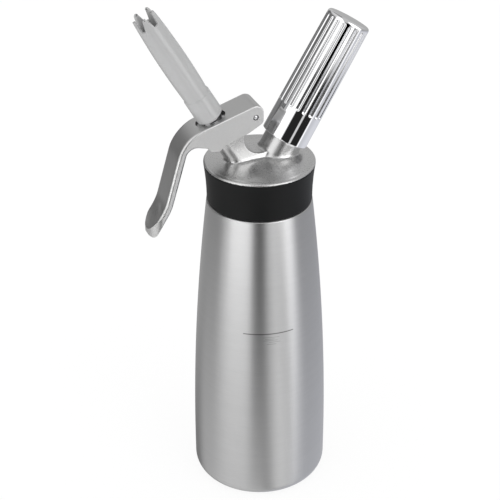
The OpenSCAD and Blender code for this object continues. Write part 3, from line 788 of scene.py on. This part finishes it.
def rest_cutter(first_x, side):
    """A corner off the finger rest's end, which is round as seen from above."""
    half_deep, spare, parts = 12.0, 2.0, 24
    turns = [math.radians(90 * k / parts) for k in range(parts + 1)]
    places = [(first_x + REST_END_R * (1 - math.cos(a)), side * (HALF_W - REST_END_R * (1 - math.sin(a))))
              for a in turns]
    places += [(first_x + REST_END_R, side * (HALF_W + spare)), (first_x - spare, side * (HALF_W + spare)),
               (first_x - spare, side * (HALF_W - REST_END_R))]
    mesh = prism([Vector(place) for place in places], half_deep)
    mesh.transform(Matrix.Translation((0, 0, (REST_END.y + 4) * MM)) @ ONTO_Y)
    return mesh


def cut(piece, meshes):
    """Takes the cutters out of a piece, for good."""
    for mesh in meshes:
        cutter = bpy.data.objects.new("cutter", mesh)
        bpy.context.scene.collection.objects.link(cutter)
        taking = piece.modifiers.new("cut", "BOOLEAN")
        taking.operation = "DIFFERENCE"
        taking.solver = "EXACT"
        taking.object = cutter
        apply_modifiers(piece)
        bpy.data.objects.remove(cutter)
        bpy.data.meshes.remove(mesh)


def lever_piece():
    """The lever: plate and handle from one outline, with its channel, its holes and its round end."""
    outline = lever_outline()
    piece = add_piece("squeeze_lever", lever_skin(outline), "lever", "lever")
    first_x = min(point.x for point in outline)
    ends = [rest_cutter(first_x, side) for side in (-1, 1)]
    cut(piece, [channel_cutter(), nozzle_cutter(), pin_cutter()] + ends)
    shade_smooth(piece.data, 32)
    weigh_normals(piece)
    return piece


# ---- pin and springs ----

def pin_piece():
    """The pivot pin, its ends turned with a small rim."""
    r, half = 1.5, 8.8
    end = [(r, half - 0.8), (1.22, half - 0.8), (1.18, half - 0.3), (0.95, half - 0.12),
           (0.5, half - 0.03), (0.02, half)]
    other = [(x, -z) for x, z in reversed(end)]
    mesh = turned("pivot_rod", other + end, 48)
    mesh.transform(Matrix.Translation((PIVOT_X * MM, 0, PIVOT_Z * MM)) @ ONTO_Y)
    return add_piece("pivot_rod", mesh, "lever_pin", "head")


def spring_piece(name, node):
    """A coil spring from the node's own mesh, welded, with smooth faces."""
    piece = add_piece(name, frame["nodes"][node].data.copy(), node, "head")
    shade_smooth(piece.data, 60)
    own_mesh(piece)
    return piece


for name, node in frame["nodes"].items():
    node.data.materials.clear()
    node.data.materials.append(material_of(name))

bottle_piece()
ring_piece()
head_piece()
holder_piece()
lever_piece()
softened("slotted_tip", "decorator_tip", "tip", 0.35)
softened("tip_adapter", "nozzle_adapter", "valve", 0.2)
pin_piece()
spring_piece("valve_coil", "valve_spring")
spring_piece("check_coil", "check_spring")


# ---- stage, light and camera ----

def studio_light(graph, direction):
    """The light of the room in each direction: soft patches, each laid over those before it."""
    x, y, z = graph.separate(direction)
    toward = (math.sin(VIEW_AZIMUTH), -math.cos(VIEW_AZIMUTH))
    right = (math.cos(VIEW_AZIMUTH), math.sin(VIEW_AZIMUTH))
    front = graph.math("ADD", graph.math("MULTIPLY", x, toward[0]), graph.math("MULTIPLY", y, toward[1]))
    side = graph.math("ADD", graph.math("MULTIPLY", x, right[0]), graph.math("MULTIPLY", y, right[1]))
    # degrees round from the camera to the right, and degrees up
    turn = graph.math("DEGREES", graph.math("ARCTAN2", side, front))
    rise = graph.math("DEGREES", graph.math("ARCSINE", z))
    light = 0.45

    def lay(area, strength):
        """Lays a patch of light of the given strength over what is there already."""
        nonlocal light
        mix = graph.node("ShaderNodeMix", data_type="FLOAT")
        graph.put(mix.inputs["Factor"], area)
        graph.put(mix.inputs["A"], light)
        graph.put(mix.inputs["B"], strength)
        light = mix.outputs["Result"]

    def box(turns, heights, soft, height=rise):
        """1 in a box of turns and heights, with soft sides and soft ends."""
        return graph.math("MULTIPLY", graph.window(turn, *turns, soft[0]),
                          graph.window(height, *heights, soft[1]))

    # the room low down: grey, darker under the horizon, brighter behind
    away = graph.math("ABSOLUTE", turn)
    low_side = graph.math("MULTIPLY", graph.step(away, 78, 108, 1.0, 1.12),
                          graph.step(rise, -42, -16, 0.68, 0.36))
    lay(graph.step(rise, -14, -10, 1.0, 0.0), low_side)
    # the bright table in front, its grey near part and a dark corner behind
    lay(box((-77, 71), (-60, -6), (9, 6)), graph.step(rise, -20, -14.5, 0.7, 3.3))
    lay(box((-98, -12), (-72, -46), (13, 13)), 0.95)
    lay(box((-185, -128), (-62, -34), (10, 5)), 0.14)
    # the dark gap in the middle, and what lies right of it
    gap = box((-14, 13), (-50, 24), (6, 6))
    lay(gap, graph.step(rise, -43, -33.5, 1.35, 0.0))
    lay(box((8, 29), (-56, -43), (5, 5)), 0.25)
    lay(box((26, 66), (-46, -8), (5, 5)), graph.step(rise, -27, -17, 1.2, 1.9))
    # high up: even grey round the gap, darker behind and brighter on the left
    lay(graph.math("MULTIPLY", graph.step(rise, -8, 20), graph.math("SUBTRACT", 1.0, gap)), 0.58)
    lay(graph.math("MULTIPLY", graph.step(away, 146, 157), graph.step(rise, 35, 39)), 0.25)
    lay(box((-158, -60), (38, 75), (5, 5)), 0.7)
    # the mottled dark wall on the left
    mottle = graph.noise(direction, 9.0, 4.0, 0.65)
    lay(box((-157, -60), (-14, 26), (4, 4)), graph.step(mottle, 0.35, 0.65, 0.06, 0.29))
    # the two soft boxes
    lay(box((-74, -21), (2, 75), (4, 3)), 1.35)
    lay(box((20, 67), (-9, 50), (4, 3)), 2.1)
    # a dark slanting band with a grey strip in it, and a grey patch over it
    slant = graph.math("ADD", rise, graph.math("ADD", graph.math("MULTIPLY", turn, 0.55), 0.5))
    lay(box((-19, 58), (-5, 5), (2, 1.5), slant), 0.02)
    lay(box((15, 23.5), (-5, 5), (1, 2), slant), 0.7)
    lay(box((30, 50), (5, 12), (2, 1.5), slant), 0.4)
    lilac = graph.math("MULTIPLY", graph.step(turn, 50, 80), graph.step(rise, -14, -22))
    colour = graph.tint(lilac, (1.0, 1.0, 1.0), (0.96, 0.975, 1.04))
    # dull surfaces see an even room
    lay(graph.node("ShaderNodeLightPath").outputs["Is Diffuse Ray"], 0.9)
    return light, colour


def studio_world():
    """White where the camera sees it, and the studio's light for everything else."""
    world = bpy.data.worlds.new("studio")
    bpy.context.scene.world = world
    world.use_nodes = True
    graph = Graph(world.node_tree)
    light, colour = studio_light(graph, graph.node("ShaderNodeTexCoord").outputs["Generated"])
    room = graph.node("ShaderNodeBackground")
    graph.put(room.inputs["Color"], colour)
    graph.put(room.inputs["Strength"], light)
    white = graph.node("ShaderNodeBackground")
    graph.put(white.inputs["Color"], (1, 1, 1, 1))
    graph.put(white.inputs["Strength"], 1.0)
    mix = graph.node("ShaderNodeMixShader")
    graph.put(mix.inputs[0], graph.node("ShaderNodeLightPath").outputs["Is Camera Ray"])
    graph.put(mix.inputs[1], room.outputs[0])
    graph.put(mix.inputs[2], white.outputs[0])
    graph.put(graph.node("ShaderNodeOutputWorld").inputs[0], mix.outputs[0])


def floor_material():
    """Near white to the camera, pale with a faint shadow, and clear to what metal reflects."""
    material = bpy.data.materials.new("floor")
    material.use_nodes = True
    graph = Graph(material.node_tree)
    pale = graph.node("ShaderNodeBsdfDiffuse")
    graph.put(pale.inputs["Color"], (0.95, 0.95, 0.95, 1))
    glow = graph.node("ShaderNodeEmission")
    graph.put(glow.inputs["Strength"], 1.03)
    path = graph.node("ShaderNodeLightPath")
    seen = graph.node("ShaderNodeMixShader")
    graph.put(seen.inputs[0], graph.math("MULTIPLY", path.outputs["Is Camera Ray"], 0.85))
    graph.put(seen.inputs[1], pale.outputs[0])
    graph.put(seen.inputs[2], glow.outputs[0])
    clear = graph.node("ShaderNodeBsdfTransparent")
    both = graph.node("ShaderNodeMixShader")
    graph.put(both.inputs[0], path.outputs["Is Glossy Ray"])
    graph.put(both.inputs[1], seen.outputs[0])
    graph.put(both.inputs[2], clear.outputs[0])
    graph.put(graph.node("ShaderNodeOutputMaterial").inputs[0], both.outputs[0])
    return material


def floor():
    """A wide round floor just under the base, in metres."""
    radius, gap = 2.5, 0.0001
    shape = bmesh.new()
    bmesh.ops.create_circle(shape, cap_ends=True, segments=64, radius=radius)
    bmesh.ops.translate(shape, verts=shape.verts, vec=(0, 0, -gap))
    mesh = mesh_of(shape, "floor")
    mesh.materials.append(floor_material())
    piece = bpy.data.objects.new("floor", mesh)
    bpy.context.scene.collection.objects.link(piece)


def camera():
    """The photograph's camera, level across and looking down at the dispenser."""
    data = bpy.data.cameras.new("camera")
    data.sensor_width = 36.0
    data.lens = CAMERA_LENS
    data.shift_x = CAMERA_SHIFT
    piece = bpy.data.objects.new("camera", data)
    piece.location = CAMERA_PLACE
    piece.rotation_euler = (math.pi / 2 - VIEW_PITCH, 0, VIEW_AZIMUTH)
    bpy.context.scene.collection.objects.link(piece)
    bpy.context.scene.camera = piece


studio_world()
floor()
camera()
bpy.context.scene.view_settings.view_transform = "Standard"
